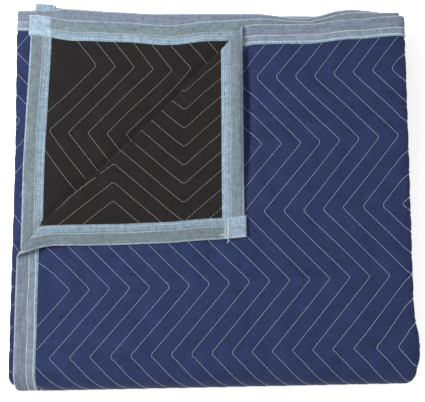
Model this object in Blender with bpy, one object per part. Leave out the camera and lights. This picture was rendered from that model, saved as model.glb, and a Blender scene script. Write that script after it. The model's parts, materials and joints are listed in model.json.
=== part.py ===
"""A quilted moving blanket, folded in half four times, with one top corner turned back.

The blanket is cut flat and then folded, as the real one is. Each piece is first modelled on the
flat cloth, where X runs across the blanket, -Y runs down it and Z is the height over the middle of
the cloth, with the blue face up. It is cut along every crease, and fold() then lays each of its
points where the folded blanket has it. Metres, +Z up, the origin under the middle of the stack.
"""

import math

import bmesh
import bpy
from mathutils import Vector

# Cloth and tape
FACE_THICK = 0.0014  # one face cloth with its half of the wadding
FACE_GAP = 0.0003
EDGE_FACE_THICK = 0.0005  # the same, pressed flat inside the binding
THINNING = 0.007  # the pad has its full thickness this far inside the binding
TAPE_WIDTH = 0.027  # the binding's width on each side of the cloth
TAPE_THICK = 0.0006
TAPE_GAP = 0.0003
TAPE_OVERRUN = 0.003  # how far a strip's lapped end sticks out past the next edge

# Folded size
LAYER = 0.0037  # from the middle of one layer to the middle of the next
GROUP = 4 * LAYER  # the four layers that the first two folds make
PANEL_ACROSS = 0.482  # between the left and the right creases
PANEL_DOWN = 0.441  # from the back edge to where the front crease starts
BACK_CREASE_IN = 0.020  # the back crease lies this far inside the back edges
STACK_CENTRE = (0.24257, 0.21118)  # the middle of the folded stack, before it is centred

# The two pairs of folds. Each row is a panel of cloth and the half turn after it: the panel's
# length, the turn's radius at the middle of what is folded, its side (-1 goes under, 1 goes
# over), and its reach, which is over 1 where the crease bulges.
ACROSS = (
    {"name": "top", "length": PANEL_ACROSS, "radius": 1.5 * LAYER, "side": -1, "reach": 1.4},
    {"name": "lowest", "length": PANEL_ACROSS, "radius": 0.5 * LAYER, "side": -1, "reach": 1.0},
    {"name": "third", "length": PANEL_ACROSS, "radius": 0.5 * LAYER, "side": 1, "reach": 1.0},
    {"name": "second", "length": PANEL_ACROSS, "radius": 0.0, "side": 0, "reach": 1.0},
)
DOWN = (
    {"name": "top", "length": PANEL_DOWN, "radius": 1.5 * GROUP, "side": -1, "reach": 1.0},
    {
        "name": "lowest",
        "length": PANEL_DOWN - BACK_CREASE_IN,
        "radius": 0.5 * GROUP,
        "side": -1,
        "reach": 1.0,
    },
    {
        "name": "third",
        "length": PANEL_DOWN - BACK_CREASE_IN,
        "radius": 0.5 * GROUP,
        "side": 1,
        "reach": 1.0,
    },
    {"name": "second", "length": PANEL_DOWN, "radius": 0.0, "side": 0, "reach": 1.0},
)
TRUE_HEIGHT_DOWN = 1.5 * LAYER  # the top layer keeps its length round the second pair of folds

# How far each free edge or crease lies inside the stack's outline, back to front for the left
# edges and left to right for the back edges.
LEFT_SETBACK = {
    "top": (0.0020, 0.0000, 0.0000),
    "lowest": (-0.0080, -0.0055, -0.0055),
    "third": (-0.0080, -0.0055, -0.0055),
    "second": (0.0090, 0.0035, 0.0060),
}
BACK_SETBACK = {
    "top": {
        "top": (0.0205, 0.0330, 0.0330, 0.0310, 0.0230, 0.0145, 0.0140, 0.0080, 0.0030),
        "second": (0.0005, 0.0080, 0.0100, 0.0145, 0.0085, 0.0055, 0.0090, -0.0030, -0.0025),
        "third": (-0.0070, -0.0090, -0.0050, -0.0020, -0.0025, -0.0020, 0.0040, -0.0080, -0.0025),
        "lowest": (-0.0070, -0.0040, 0.0010, 0.0000, 0.0030),
    },
    "second": {
        "lowest": (0.0000, -0.0060, 0.0020, -0.0020, 0.0040),
        "third": (0.0000, 0.0020, -0.0020, 0.0030, 0.0040),
        "second": (-0.0190, -0.0040, 0.0040, 0.0060, 0.0040),
        "top": (0.0040, 0.0060, 0.0080, 0.0070, 0.0040),
    },
}

# The turned-back corner of the top layer
CORNER_DEPTH = 0.2036  # from the cloth's corner to where the diagonal crease starts
CORNER_NORMAL = Vector((0.7103, 0.7039)).normalized()  # away from the corner: across, down
CORNER_RADIUS = 0.0032
CORNER_REST = 0.0039  # the flap's height over the top layer once it has come down
CORNER_FALL = 0.075  # the length in which it comes down

# The stack's outline
FRONT_SLANT = 0.009  # how much nearer the front edge comes at the left end than at the right
BULGE = {"height": 0.006, "at_y": 0.018, "length": 0.030, "width": 0.09}
# The left side is pulled forward where the turned corner's crease runs out
PULL = {"amount": 0.020, "at_y": 0.145, "length": 0.050, "width": 0.030}

LENGTH_ACROSS = sum(row["length"] + math.pi * row["radius"] for row in ACROSS)


def true_radius(row, true_height):
    """The radius at which a turn keeps the cloth's length."""
    return row["radius"] - row["side"] * true_height


LENGTH_DOWN = sum(
    row["length"] + math.pi * true_radius(row, TRUE_HEIGHT_DOWN) * abs(row["side"])
    for row in DOWN
)


def smooth(t):
    t = min(1.0, max(0.0, t))
    return t * t * (3 - 2 * t)


def along_curve(values, t):
    """The value at t, from 0 to 1, on a smooth curve through evenly spaced values."""
    place = min(1.0, max(0.0, t)) * (len(values) - 1)
    index = min(int(place), len(values) - 2)
    part = smooth(place - index)
    return values[index] * (1 - part) + values[index + 1] * part


def follow(distance, height, rows, true_height, level):
    """Where folded cloth has a point: its panel, how far it lies along, and its height.

    distance is measured on the cloth, height is over its middle, and level is the middle of the
    first panel.
    """
    along, heading = 0.0, 1
    for row in rows[:-1]:
        if distance <= row["length"]:
            return row["name"], along + heading * distance, level + heading * height
        distance -= row["length"]
        along += heading * row["length"]
        arc = math.pi * true_radius(row, true_height)
        centre = level + heading * row["side"] * row["radius"]
        if distance < arc:
            angle = math.pi * distance / arc
            radius = row["radius"] - row["side"] * height
            return (
                row["name"],
                along + heading * row["reach"] * radius * math.sin(angle),
                centre - heading * row["side"] * radius * math.cos(angle),
            )
        distance -= arc
        level = centre + heading * row["side"] * row["radius"]
        heading = -heading
    return rows[-1]["name"], along + heading * distance, level + heading * height


def turn_corner(across, down, height):
    """The top corner folded back over the blue face, along its diagonal crease."""
    past = CORNER_DEPTH - CORNER_NORMAL.dot(Vector((across, down)))
    if past <= 0:
        return across, down, height
    half_turn = math.pi * CORNER_RADIUS
    if past < half_turn:
        angle = past / CORNER_RADIUS
        reach = (CORNER_RADIUS - height) * math.sin(angle)
        lift = CORNER_RADIUS - (CORNER_RADIUS - height) * math.cos(angle)
    else:
        fall = smooth((past - half_turn) / CORNER_FALL)
        reach = half_turn - past
        lift = 2 * CORNER_RADIUS - height - fall * (2 * CORNER_RADIUS - CORNER_REST)
    shift = -(reach - past)
    return across + shift * CORNER_NORMAL.x, down + shift * CORNER_NORMAL.y, lift


def settle(along, back):
    """The stack's outline: a slanting front, a fat front right corner and a pulled left side."""
    right = smooth((along - PANEL_ACROSS + BULGE["width"]) / BULGE["width"])
    bulge = math.exp(-(((back - BULGE["at_y"]) / BULGE["length"]) ** 2))
    slant = FRONT_SLANT * (1 - along / PANEL_ACROSS) * (1 - smooth(back / PANEL_DOWN))
    pull = math.exp(-((along / PULL["width"]) ** 2))
    pull *= math.exp(-(((back - PULL["at_y"]) / PULL["length"]) ** 2))
    back -= PULL["amount"] * pull + slant
    return along + BULGE["height"] * right * bulge, back


def fold(flat):
    """Where the folded blanket has a point of the flat one."""
    across, down, height = turn_corner(flat.x, -flat.y, flat.z)
    panel, along, in_group = follow(across, height, ACROSS, 0.0, 1.5 * LAYER)
    group, out, up = follow(down, in_group, DOWN, TRUE_HEIGHT_DOWN, 3.5 * GROUP)
    from_back = min(1.0, max(0.0, out / PANEL_DOWN))
    from_left = min(1.0, max(0.0, along / PANEL_ACROSS))
    if along < PANEL_ACROSS:
        setback = along_curve(LEFT_SETBACK[panel], from_back)
        along = PANEL_ACROSS - (PANEL_ACROSS - along) * (1 - setback / PANEL_ACROSS)
    if group in BACK_SETBACK and out < PANEL_DOWN:
        setback = along_curve(BACK_SETBACK[group][panel], from_left)
        out = PANEL_DOWN - (PANEL_DOWN - out) * (1 - setback / PANEL_DOWN)
    along, back = settle(along, PANEL_DOWN - out)
    return Vector((along - STACK_CENTRE[0], back - STACK_CENTRE[1], up - LOWEST))


OUTER_HEIGHT = FACE_GAP / 2 + FACE_THICK  # of each face over the middle of the cloth
LOWEST = 0.5 * LAYER - OUTER_HEIGHT


def turn_stations(rows, true_height, panel_steps, turn_steps):
    """The distances at which the cloth is cut: a few in each panel and more round each turn."""
    stations, at = [], 0.0
    for row, parts, steps in zip(rows, panel_steps, turn_steps):
        stations += [at + row["length"] * i / parts for i in range(parts + 1)]
        at += row["length"]
        if row["side"]:
            arc = math.pi * true_radius(row, true_height)
            stations += [at + arc * i / steps for i in range(1, steps)]
            at += arc
    return stations


def crease_lines():
    """Every line along which the flat cloth is cut to fold it: a point on it and its normal."""
    across = turn_stations(ACROSS, 0.0, (6, 4, 4, 6), (6, 3, 3, 0))
    down = turn_stations(DOWN, TRUE_HEIGHT_DOWN, (2, 1, 1, 2), (6, 4, 4, 0))
    half_turn = math.pi * CORNER_RADIUS
    corner = [half_turn * i / 5 for i in range(6)]
    corner += [half_turn + CORNER_FALL * i / 3 for i in range(1, 4)]
    normal = Vector((CORNER_NORMAL.x, -CORNER_NORMAL.y, 0))
    lines = [(Vector((at, 0, 0)), Vector((1, 0, 0))) for at in across]
    lines += [(Vector((0, -at, 0)), Vector((0, 1, 0))) for at in down]
    lines += [(normal * (CORNER_DEPTH - past), normal) for past in corner]
    return lines


def tape_lines():
    """Where the pad thins to go into its binding, on all four sides."""
    insets = (TAPE_WIDTH + TAPE_GAP, TAPE_WIDTH + THINNING)
    across = [at for inset in insets for at in (inset, LENGTH_ACROSS - inset)]
    down = [at for inset in insets for at in (inset, LENGTH_DOWN - inset)]
    lines = [(Vector((at, 0, 0)), Vector((1, 0, 0))) for at in across]
    lines += [(Vector((0, -at, 0)), Vector((0, 1, 0))) for at in down]
    return lines


def cut(bm, lines):
    for point, normal in lines:
        everything = bm.verts[:] + bm.edges[:] + bm.faces[:]
        bmesh.ops.bisect_plane(bm, geom=everything, plane_co=point, plane_no=normal)


def edge_distance(point):
    """How far a point of the flat cloth lies inside its nearest cut edge."""
    return min(point.x, LENGTH_ACROSS - point.x, -point.y, LENGTH_DOWN + point.y)


def material_of(name, colour, roughness):
    material = bpy.data.materials.new(name)
    material.use_nodes = True
    shader = material.node_tree.nodes["Principled BSDF"]
    shader.inputs["Base Color"].default_value = (*colour, 1)
    shader.inputs["Roughness"].default_value = roughness
    shader.inputs["Metallic"].default_value = 0.0
    return material


def add_object(name, bm, material, collection):
    for vertex in bm.verts:
        vertex.co = fold(vertex.co)
    mesh = bpy.data.meshes.new(name)
    bm.to_mesh(mesh)
    bm.free()
    mesh.materials.append(material)
    piece = bpy.data.objects.new(name, mesh)
    collection.objects.link(piece)
    return piece


def add_face_cloth(name, side, material, collection):
    """One face of the pad, on the upper side (1) or the lower side (-1) of the cloth."""
    bm = bmesh.new()
    bmesh.ops.create_grid(bm, x_segments=1, y_segments=1, size=0.5)
    for vertex in bm.verts:
        vertex.co.x = (vertex.co.x + 0.5) * LENGTH_ACROSS
        vertex.co.y = (vertex.co.y - 0.5) * LENGTH_DOWN
    cut(bm, crease_lines() + tape_lines())
    bmesh.ops.triangulate(bm, faces=bm.faces[:])
    inner = bm.verts[:]
    grown = bmesh.ops.extrude_face_region(bm, geom=bm.faces[:], use_keep_orig=True)
    outer = [item for item in grown["geom"] if isinstance(item, bmesh.types.BMVert)]
    for vertex in inner:
        vertex.co.z = side * FACE_GAP / 2
    for vertex in outer:
        flat = edge_distance(vertex.co) < TAPE_WIDTH + 2 * TAPE_GAP
        thick = EDGE_FACE_THICK if flat else FACE_THICK
        vertex.co.z = side * (FACE_GAP / 2 + thick)
    bmesh.ops.triangulate(bm, faces=bm.faces[:])
    bmesh.ops.recalc_face_normals(bm, faces=bm.faces[:])
    return add_object(name, bm, material, collection)


def tape_profile():
    """The binding's section on the edge at 0: a U that wraps the thin edge of the pad."""
    inside = FACE_GAP / 2 + EDGE_FACE_THICK + TAPE_GAP
    outside = inside + TAPE_THICK
    end = -TAPE_GAP - TAPE_THICK
    return (
        (TAPE_WIDTH, inside),
        (TAPE_WIDTH, outside),
        (end, outside),
        (end, -outside),
        (TAPE_WIDTH, -outside),
        (TAPE_WIDTH, -inside),
        (end + TAPE_THICK, -inside),
        (end + TAPE_THICK, inside),
    )


def add_binding(name, place, start, end, material, collection):
    """A strip round one cut edge. place(inward, along, height) is a point of the flat cloth."""
    bm = bmesh.new()
    ring = [bm.verts.new(place(inward, start, height)) for inward, height in tape_profile()]
    section = bm.faces.new(ring)
    grown = bmesh.ops.extrude_face_region(bm, geom=[section], use_keep_orig=True)
    moved = [item for item in grown["geom"] if isinstance(item, bmesh.types.BMVert)]
    run = place(0, end, 0) - place(0, start, 0)
    bmesh.ops.translate(bm, verts=moved, vec=run)
    cut(bm, crease_lines() + tape_lines())
    bmesh.ops.triangulate(bm, faces=bm.faces[:])
    bmesh.ops.recalc_face_normals(bm, faces=bm.faces[:])
    return add_object(name, bm, material, collection)


def main():
    for leftover in list(bpy.data.objects):
        bpy.data.objects.remove(leftover)
    collection = bpy.data.collections.new("moving_blanket")
    bpy.context.scene.collection.children.link(collection)

    blue = material_of("blue_cloth", (0.035, 0.045, 0.16), 0.85)
    black = material_of("black_cloth", (0.018, 0.016, 0.016), 0.85)
    grey = material_of("grey_tape", (0.25, 0.33, 0.40), 0.7)

    add_face_cloth("blue_face", 1, blue, collection)
    add_face_cloth("black_face", -1, black, collection)

    lap = TAPE_WIDTH + FACE_GAP
    overrun = -TAPE_OVERRUN
    across, down = LENGTH_ACROSS, LENGTH_DOWN
    strips = (
        ("binding_left", lambda i, a, h: Vector((i, -a, h)), overrun, down - lap),
        ("binding_back", lambda i, a, h: Vector((a, -i, h)), lap, across - overrun),
        ("binding_right", lambda i, a, h: Vector((across - i, -a, h)), lap, down - overrun),
        ("binding_front", lambda i, a, h: Vector((a, i - down, h)), overrun, across - lap),
    )
    for name, place, start, end in strips:
        add_binding(name, place, start, end, grey, collection)


main()
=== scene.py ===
"""A folded moving blanket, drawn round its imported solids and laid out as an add-on.

Everything is sewn flat and folded last. X and -Y of the flat cloth run across and down the
blanket, Z is the height over the middle of the cloth on its blue side, and fold() lays every
point where the folded blanket has it. Metres, +Z up.
"""

import json
import math

import bmesh
import bpy
import numpy as np
from bpy.props import FloatProperty, FloatVectorProperty, PointerProperty
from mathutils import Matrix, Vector

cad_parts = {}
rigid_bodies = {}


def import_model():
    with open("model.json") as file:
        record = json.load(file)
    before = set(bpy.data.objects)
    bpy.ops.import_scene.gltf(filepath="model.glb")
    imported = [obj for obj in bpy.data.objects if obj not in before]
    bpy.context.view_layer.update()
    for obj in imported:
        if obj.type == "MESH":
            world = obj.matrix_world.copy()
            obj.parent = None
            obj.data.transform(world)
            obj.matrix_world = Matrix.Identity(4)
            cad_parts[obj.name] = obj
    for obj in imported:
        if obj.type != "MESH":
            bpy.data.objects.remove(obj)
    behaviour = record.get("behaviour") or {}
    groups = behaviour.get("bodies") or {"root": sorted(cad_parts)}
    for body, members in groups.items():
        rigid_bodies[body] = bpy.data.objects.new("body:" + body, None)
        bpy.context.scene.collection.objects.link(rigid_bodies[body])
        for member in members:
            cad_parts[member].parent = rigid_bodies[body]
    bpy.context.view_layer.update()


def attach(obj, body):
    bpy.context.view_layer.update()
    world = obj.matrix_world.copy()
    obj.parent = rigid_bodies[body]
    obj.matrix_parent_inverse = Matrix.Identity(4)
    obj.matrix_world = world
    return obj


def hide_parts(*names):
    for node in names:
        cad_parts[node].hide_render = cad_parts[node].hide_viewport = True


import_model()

bl_info = {
    "name": "Folded moving blanket",
    "version": (1, 0, 0),
    "blender": (4, 5, 0),
    "location": "3D View > Sidebar > Blanket",
    "description": "Sews a quilted, tape-bound moving blanket flat and folds it into a stack",
    "category": "Object",
}

# Cloth and tape, as in the solids
FACE_THICK = 0.0014
FACE_GAP = 0.0003
EDGE_FACE_THICK = 0.0005
THINNING = 0.007
TAPE_WIDTH = 0.027
TAPE_THICK = 0.0006
TAPE_GAP = 0.0003
TAPE_OVERRUN = 0.003
TAPE_INSIDE = FACE_GAP / 2 + EDGE_FACE_THICK + TAPE_GAP
TAPE_OUTSIDE = TAPE_INSIDE + TAPE_THICK

# Folded size, as in the solids
LAYER = 0.0037
GROUP = 4 * LAYER
PANEL_ACROSS = 0.482
PANEL_DOWN = 0.441
BACK_CREASE_IN = 0.020
STACK_CENTRE = (0.24257, 0.21118)
ACROSS = (
    {"name": "top", "length": PANEL_ACROSS, "radius": 1.5 * LAYER, "side": -1, "reach": 1.4},
    {"name": "lowest", "length": PANEL_ACROSS, "radius": 0.5 * LAYER, "side": -1, "reach": 1.0},
    {"name": "third", "length": PANEL_ACROSS, "radius": 0.5 * LAYER, "side": 1, "reach": 1.0},
    {"name": "second", "length": PANEL_ACROSS, "radius": 0.0, "side": 0, "reach": 1.0},
)
INNER_DOWN = PANEL_DOWN - BACK_CREASE_IN
DOWN = (
    {"name": "top", "length": PANEL_DOWN, "radius": 1.5 * GROUP, "side": -1, "reach": 1.0},
    {"name": "lowest", "length": INNER_DOWN, "radius": 0.5 * GROUP, "side": -1, "reach": 1.0},
    {"name": "third", "length": INNER_DOWN, "radius": 0.5 * GROUP, "side": 1, "reach": 1.0},
    {"name": "second", "length": PANEL_DOWN, "radius": 0.0, "side": 0, "reach": 1.0},
)
TRUE_HEIGHT_DOWN = 1.5 * LAYER
LEFT_SETBACK = {
    "top": (0.0020, 0.0000, 0.0000),
    "lowest": (-0.0080, -0.0055, -0.0055),
    "third": (-0.0080, -0.0055, -0.0055),
    "second": (0.0090, 0.0035, 0.0060),
}
BACK_SETBACK = {
    "top": {
        "top": (0.0205, 0.0330, 0.0330, 0.0310, 0.0230, 0.0145, 0.0140, 0.0080, 0.0030),
        "second": (0.0005, 0.0080, 0.0100, 0.0145, 0.0085, 0.0055, 0.0090, -0.0030, -0.0025),
        "third": (-0.0070, -0.0090, -0.0050, -0.0020, -0.0025, -0.0020, 0.0040, -0.0080, -0.0025),
        "lowest": (-0.0070, -0.0040, 0.0010, 0.0000, 0.0030),
    },
    "second": {
        "lowest": (0.0000, -0.0060, 0.0020, -0.0020, 0.0040),
        "third": (0.0000, 0.0020, -0.0020, 0.0030, 0.0040),
        "second": (-0.0190, -0.0040, 0.0040, 0.0060, 0.0040),
        "top": (0.0040, 0.0060, 0.0080, 0.0070, 0.0040),
    },
}
CORNER_DEPTH = 0.2036
CORNER_NORMAL = np.array((0.7103, 0.7039)) / math.hypot(0.7103, 0.7039)
CORNER_RADIUS = 0.0032
CORNER_REST = 0.0039
CORNER_FALL = 0.075
FRONT_SLANT = 0.009
BULGE = {"height": 0.006, "at_y": 0.018, "length": 0.030, "width": 0.09}
PULL = {"amount": 0.020, "at_y": 0.145, "length": 0.050, "width": 0.030}

# How the stack has settled, beyond what the solids show
DISH = {"share": 0.03, "rim": 0.11}
FLAP_LIFT = {"height": 0.0060, "width": 0.05, "from_left": 0.05, "growing_over": 0.08}
PUCKER = {"height": 0.0016, "width": 0.011, "every": 0.013, "sway": 2.5, "sways_every": 0.047}
PUCKER_FROM_EDGE = {"none": 0.03, "growing_over": 0.02}
CREASE_END = {"at": -0.2054, "width": 0.034, "radius": 0.0028}
HOLLOW = {"depth": 0.0030, "at": 0.008, "width": 0.005, "left_end": 0.05, "back_end": 0.06}
GROOVE = {"depth": 0.0076, "at_x": 0.2868, "width": 0.0056}
GROOVE_ENDS = ((0.16, 0.30), (0.385, 0.412))
RIPPLES = (
    {"across": 9.1, "down": 3.2, "phase": 0.4, "height": 0.00045},
    {"across": -4.3, "down": 11.7, "phase": 2.1, "height": 0.00040},
    {"across": 21.0, "down": 14.0, "phase": 4.4, "height": 0.00022},
)

# The quilting: zigzag lines, a fixed step apart, whose corners lie in rows
QUILT_START = np.array((0.29775, 0.0718))
QUILT_LINE_STEP = np.array((0.02476, -0.00028))
QUILT_ROW_STEP = np.array((0.00428, 0.08829))
QUILT_SWING = 3.15  # from a left corner to the next right one, in line steps
QUILT_ROUNDING = 0.03
QUILT_FIRST, QUILT_LAST = -13, 64  # the outermost lines
CLEAR_OF_TAPE = 0.0006
SHORTEST_LINE = 3  # in points
LINE_SLIPS = (0, 0.3, 0.3, 0.535)  # at both ends of each stretch that slips, in line steps
ROW_SLIPS = (0, 0.13, 0.13, -0.063)  # at the same places, in rows
SEAM_TILT = 0.75  # the distance square to a seam for each unit measured across

# How finely the cloth and the tape are cut
TURN_STEPS_ACROSS = (10, 6, 6, 0)
TURN_STEPS_DOWN = (26, 8, 8, 0)
CREASE_STEPS = 8
FALL_STEPS = 4
CUT_PAST_CREASE = 0.01
COARSE = 0.025
FINE = 0.0036
UNDERSIDE_FINE = 0.010
LEFT_FOLD_FINE = {"width": 0.05, "spacing": 0.006}
GROOVE_FINE = {"reach": 0.0072, "spacing": 0.0012}
GROOVE_COARSE = np.array((-0.010, -0.005, 0.0, 0.005, 0.010))
CLOSEST_LINES = 0.0009
TAPE_COARSE = 0.02
TAPE_FINE = 0.003
CLOSEST_TAPE_LINES = 0.0004
QUILT_POINTS = 48  # from one row of corners to the next
ROW_POINTS = 0.004

# How far the black face shows: the turned corner, and the lowest layer of the loose edges
FLAP_SHOWN = {"across": 0.31, "down": 0.33}
REVERSE_SHOWN = {"across": 0.36, "down": 0.34}
SEWN_BEFORE_CREASE = 0.004
LEFT_FOLD_SEWN = 0.022


def true_radius(row, true_height):
    """The radius at which a turn keeps the cloth's length."""
    return row["radius"] - row["side"] * true_height


def turn_length(row, true_height):
    return math.pi * true_radius(row, true_height) * abs(row["side"])


def cut_length(rows, true_height):
    return sum(row["length"] + turn_length(row, true_height) for row in rows)


LENGTH_ACROSS = cut_length(ACROSS, 0.0)
LENGTH_DOWN = cut_length(DOWN, TRUE_HEIGHT_DOWN)
RIGHT_TURN = turn_length(ACROSS[0], 0.0)
FRONT_TURN = turn_length(DOWN[0], TRUE_HEIGHT_DOWN)
BACK_TURN = turn_length(DOWN[1], TRUE_HEIGHT_DOWN)
LEFT_TURN_AT = 2 * PANEL_ACROSS + RIGHT_TURN
LEFT_TURN = turn_length(ACROSS[1], 0.0)
UNDERSIDE_END = PANEL_DOWN + FRONT_TURN + INNER_DOWN + BACK_TURN
LOWEST = 0.5 * LAYER - FACE_GAP / 2 - FACE_THICK


def smooth(t):
    t = np.clip(t, 0.0, 1.0)
    return t * t * (3 - 2 * t)


def along_curve(values, t):
    """The value at t, from 0 to 1, on a smooth curve through evenly spaced values."""
    values = np.asarray(values)
    place = np.clip(t, 0.0, 1.0) * (len(values) - 1)
    index = np.minimum(place.astype(int), len(values) - 2)
    part = smooth(place - index)
    return values[index] * (1 - part) + values[index + 1] * part


def follow(distance, height, rows, true_height, level):
    """Where folded cloth has its points: each one's panel, its place along, and its height."""
    panel = np.zeros(len(distance), int)
    along, up = np.zeros(len(distance)), np.zeros(len(distance))
    left, base, heading = distance.copy(), 0.0, 1
    waiting = np.ones(len(distance), bool)
    for index, row in enumerate(rows):
        flat = waiting & ((left <= row["length"]) | (row["side"] == 0))
        panel[flat] = index
        along[flat] = base + heading * left[flat]
        up[flat] = level + heading * height[flat]
        waiting &= ~flat
        if row["side"] == 0:
            break
        left = left - row["length"]
        base += heading * row["length"]
        arc = turn_length(row, true_height)
        centre = level + heading * row["side"] * row["radius"]
        turning = waiting & (left < arc)
        angle = math.pi * left[turning] / arc
        radius = row["radius"] - row["side"] * height[turning]
        panel[turning] = index
        along[turning] = base + heading * row["reach"] * radius * np.sin(angle)
        up[turning] = centre - heading * row["side"] * radius * np.cos(angle)
        waiting &= ~turning
        left = left - arc
        level = centre + heading * row["side"] * row["radius"]
        heading = -heading
    return panel, along, up


def turn_corner(across, down, height):
    """The top corner folded back over the blue face, along its diagonal crease."""
    past = CORNER_DEPTH - CORNER_NORMAL[0] * across - CORNER_NORMAL[1] * down
    sideways = across * CORNER_NORMAL[1] - down * CORNER_NORMAL[0]
    from_end = (sideways - CREASE_END["at"]) / CREASE_END["width"]
    radius = CORNER_RADIUS + CREASE_END["radius"] * np.exp(-(from_end**2))
    half_turn = math.pi * radius
    angle = past / radius
    fall = smooth((past - half_turn) / CORNER_FALL)
    turning = past < half_turn
    reach = np.where(turning, (radius - height) * np.sin(angle), half_turn - past)
    turned = radius - (radius - height) * np.cos(angle)
    lying = 2 * radius - height - fall * (2 * radius - CORNER_REST)
    from_left = smooth((across - FLAP_LIFT["from_left"]) / FLAP_LIFT["growing_over"])
    raised = (1 - smooth(down / FLAP_LIFT["width"])) * from_left
    lying = lying + fall * FLAP_LIFT["height"] * raised
    sway = PUCKER["sway"] * np.sin(2 * math.pi * sideways / PUCKER["sways_every"])
    pucker = np.sin(2 * math.pi * sideways / PUCKER["every"] + sway)
    near_crease = np.exp(-(((past - 0.5 * half_turn) / PUCKER["width"]) ** 2))
    from_edge = np.minimum(across, down) - PUCKER_FROM_EDGE["none"]
    near_crease = near_crease * smooth(from_edge / PUCKER_FROM_EDGE["growing_over"])
    lift = np.where(turning, turned, lying)
    shift = np.where(past > 0, past - reach, 0.0)
    lift = np.where(past > 0, lift, height) + PUCKER["height"] * pucker * near_crease
    return across + shift * CORNER_NORMAL[0], down + shift * CORNER_NORMAL[1], lift


def crease_hollow(along, out):
    """How far the second layer sinks beside the turned corner's crease."""
    setback = along_curve(BACK_SETBACK["top"]["top"], along / PANEL_ACROSS)
    down = PANEL_DOWN - (PANEL_DOWN - out) / (1 - setback / PANEL_DOWN)
    past = CORNER_DEPTH - CORNER_NORMAL[0] * along - CORNER_NORMAL[1] * down
    inside = smooth(along / HOLLOW["left_end"]) * smooth(down / HOLLOW["back_end"])
    return HOLLOW["depth"] * inside * np.exp(-(((past - HOLLOW["at"]) / HOLLOW["width"]) ** 2))


def settle(along, back, up):
    """The stack's outline, its hollow top and the cloth's slight unevenness."""
    right = smooth((along - PANEL_ACROSS + BULGE["width"]) / BULGE["width"])
    bulge = np.exp(-(((back - BULGE["at_y"]) / BULGE["length"]) ** 2))
    slant = FRONT_SLANT * (1 - along / PANEL_ACROSS) * (1 - smooth(back / PANEL_DOWN))
    rim = np.minimum(
        np.minimum(along, PANEL_ACROSS - along), np.minimum(back, PANEL_DOWN - back)
    )
    high = up / (4 * GROUP)
    up = up * (1 - DISH["share"] * smooth(rim / DISH["rim"]))
    (start, deep), (shallow, end) = GROOVE_ENDS
    deepened = GROOVE["depth"] * high**3 * smooth((back - start) / (deep - start))
    deepened = deepened * (1 - smooth((back - shallow) / (end - shallow)))
    up = up - deepened * np.exp(-(((along - GROOVE["at_x"]) / GROOVE["width"]) ** 2))
    for wave in RIPPLES:
        turns = wave["across"] * along + wave["down"] * back
        up = up + high * wave["height"] * np.sin(2 * math.pi * turns + wave["phase"])
    pull = np.exp(-((along / PULL["width"]) ** 2) - ((back - PULL["at_y"]) / PULL["length"]) ** 2)
    back = back - PULL["amount"] * pull - slant
    return along + BULGE["height"] * right * bulge, back, up


def fold(flat):
    """Where the folded blanket has the points of the flat one, given as an array of rows."""
    across, down, height = turn_corner(flat[:, 0], -flat[:, 1], flat[:, 2])
    panel, along, in_group = follow(across, height, ACROSS, 0.0, 1.5 * LAYER)
    group, out, up = follow(down, in_group, DOWN, TRUE_HEIGHT_DOWN, 3.5 * GROUP)
    from_back, from_left = out / PANEL_DOWN, along / PANEL_ACROSS
    for index, row in enumerate(ACROSS):
        here = (panel == index) & (along < PANEL_ACROSS)
        setback = along_curve(LEFT_SETBACK[row["name"]], from_back[here])
        squeeze = 1 - setback / PANEL_ACROSS
        along[here] = PANEL_ACROSS - (PANEL_ACROSS - along[here]) * squeeze
        for place, line in enumerate(DOWN):
            if line["name"] in BACK_SETBACK:
                loose = (panel == index) & (group == place) & (out < PANEL_DOWN)
                setback = along_curve(BACK_SETBACK[line["name"]][row["name"]], from_left[loose])
                out[loose] = PANEL_DOWN - (PANEL_DOWN - out[loose]) * (1 - setback / PANEL_DOWN)
    beside = (panel == 3) & (group == 0)
    up[beside] -= crease_hollow(along[beside], out[beside])
    along, back, up = settle(along, PANEL_DOWN - out, up - LOWEST)
    return np.stack((along - STACK_CENTRE[0], back - STACK_CENTRE[1], up), 1)


def quilt_place(across, down):
    """Where the quilting has a point of the cloth: in line steps, and in rows of corners.

    The quilting slips a little between the top panel and the two under it, inside the folds.
    """
    after_right = PANEL_ACROSS + RIGHT_TURN
    slips_at = (
        after_right + 0.1 * PANEL_ACROSS,
        after_right + 0.9 * PANEL_ACROSS,
        LENGTH_ACROSS - 1.1 * PANEL_ACROSS,
        LENGTH_ACROSS - 0.9 * PANEL_ACROSS,
    )
    line_slip = np.interp(across, slips_at, LINE_SLIPS)
    row_slip = np.interp(across, slips_at, ROW_SLIPS)
    steps = np.stack((QUILT_LINE_STEP, QUILT_ROW_STEP), 1)
    from_start = np.stack((across - QUILT_START[0], down - QUILT_START[1]))
    line, row = np.linalg.solve(steps, from_start)
    return line + line_slip, row + row_slip


def zigzag(row):
    """How far a quilting line has swung to the right, in line steps."""
    swing = np.abs((row + 1) % 2 - 1)
    near, far = np.hypot(swing, QUILT_ROUNDING), np.hypot(1 - swing, QUILT_ROUNDING)
    return QUILT_SWING * (0.5 + 0.5 * (near - far))


def seam_distance(across, down):
    """The distance of each point of the cloth from the nearest quilting seam."""
    line, row = quilt_place(across, down)
    off = line - zigzag(row)
    off = off - np.clip(off.round(), QUILT_FIRST, QUILT_LAST)
    return np.abs(off) * QUILT_LINE_STEP[0] * SEAM_TILT


def edge_distance(across, down):
    """How far each point of the cloth lies inside its nearest cut edge."""
    return np.minimum(
        np.minimum(across, LENGTH_ACROSS - across), np.minimum(down, LENGTH_DOWN - down)
    )


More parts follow.
